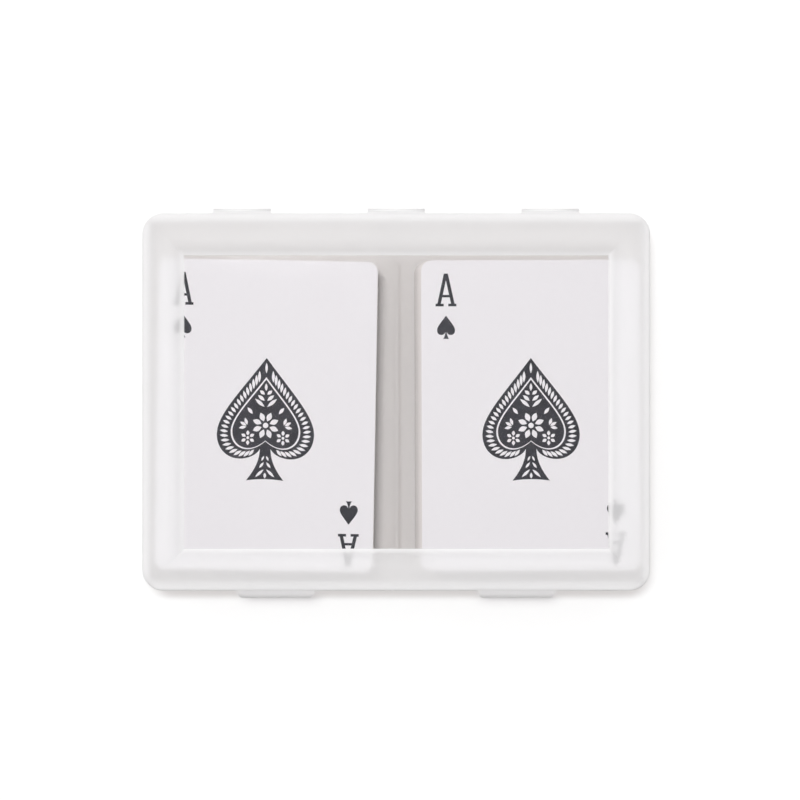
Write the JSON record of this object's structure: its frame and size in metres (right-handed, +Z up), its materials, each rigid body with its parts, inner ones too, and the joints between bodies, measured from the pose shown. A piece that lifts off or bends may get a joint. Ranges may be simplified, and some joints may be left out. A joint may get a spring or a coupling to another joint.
{
  "type": "playing card case",
  "caption": "Flat hinged case of frosted see-through plastic with a recessed window lid and front clasps, holding decks of playing cards side by side.",
  "frame": {"origin": "middle of the case's flat underside", "axes": "+X to the right along the case's width, +Y from the clasps to the hinge, +Z up out of the lid"},
  "size_m": [0.1436, 0.1102, 0.0219],
  "materials": {
    "frosted_plastic": "frosted translucent polypropylene",
    "card_stock": "coated white card stock"
  },
  "bodies": {
    "base": {"case_base": "frosted_plastic", "hinge_strap_left": "frosted_plastic", "hinge_strap_middle": "frosted_plastic", "hinge_strap_right": "frosted_plastic"},
    "lid": {"case_lid": "frosted_plastic"},
    "clasp_left": {"clasp_left": "frosted_plastic"},
    "clasp_right": {"clasp_right": "frosted_plastic"},
    "deck_left": {"left_jokers": "card_stock", "left_club_numbers": "card_stock", "left_club_courts": "card_stock", "left_diamond_numbers": "card_stock", "left_diamond_courts": "card_stock", "left_heart_numbers": "card_stock", "left_heart_courts": "card_stock", "left_spade_numbers": "card_stock", "left_spade_courts": "card_stock", "left_ace_of_spades": "card_stock"},
    "deck_right": {"right_jokers": "card_stock", "right_club_numbers": "card_stock", "right_club_courts": "card_stock", "right_diamond_numbers": "card_stock", "right_diamond_courts": "card_stock", "right_heart_numbers": "card_stock", "right_heart_courts": "card_stock", "right_spade_numbers": "card_stock", "right_spade_courts": "card_stock", "right_ace_of_spades": "card_stock"}
  },
  "joints": [
    {"name": "lid_hinge", "type": "hinge", "parent": "base", "child": "lid", "pos_m": [0, 0.0541, 0.01743], "axis": [-1, 0, 0], "range_deg": [0, 180], "deforming": ["hinge_strap_left", "hinge_strap_middle", "hinge_strap_right"]},
    {"name": "clasp_left_flex", "type": "hinge", "parent": "lid", "child": "clasp_left", "pos_m": [-0.034, -0.05335, 0.01943], "axis": [-1, 0, 0], "range_deg": [0, 12], "stiffness_Nm_per_rad": 0.2},
    {"name": "clasp_right_flex", "type": "hinge", "parent": "lid", "child": "clasp_right", "pos_m": [0.034, -0.05335, 0.01943], "axis": [-1, 0, 0], "range_deg": [0, 12], "stiffness_Nm_per_rad": 0.2},
    {"name": "deck_left_slide", "type": "slide", "parent": "base", "child": "deck_left", "axis": [0, 1, 0], "range_m": [-0.0024, 0.0098]},
    {"name": "deck_right_slide", "type": "slide", "parent": "base", "child": "deck_right", "axis": [0, 1, 0], "range_m": [-0.0024, 0.0098]}
  ]
}
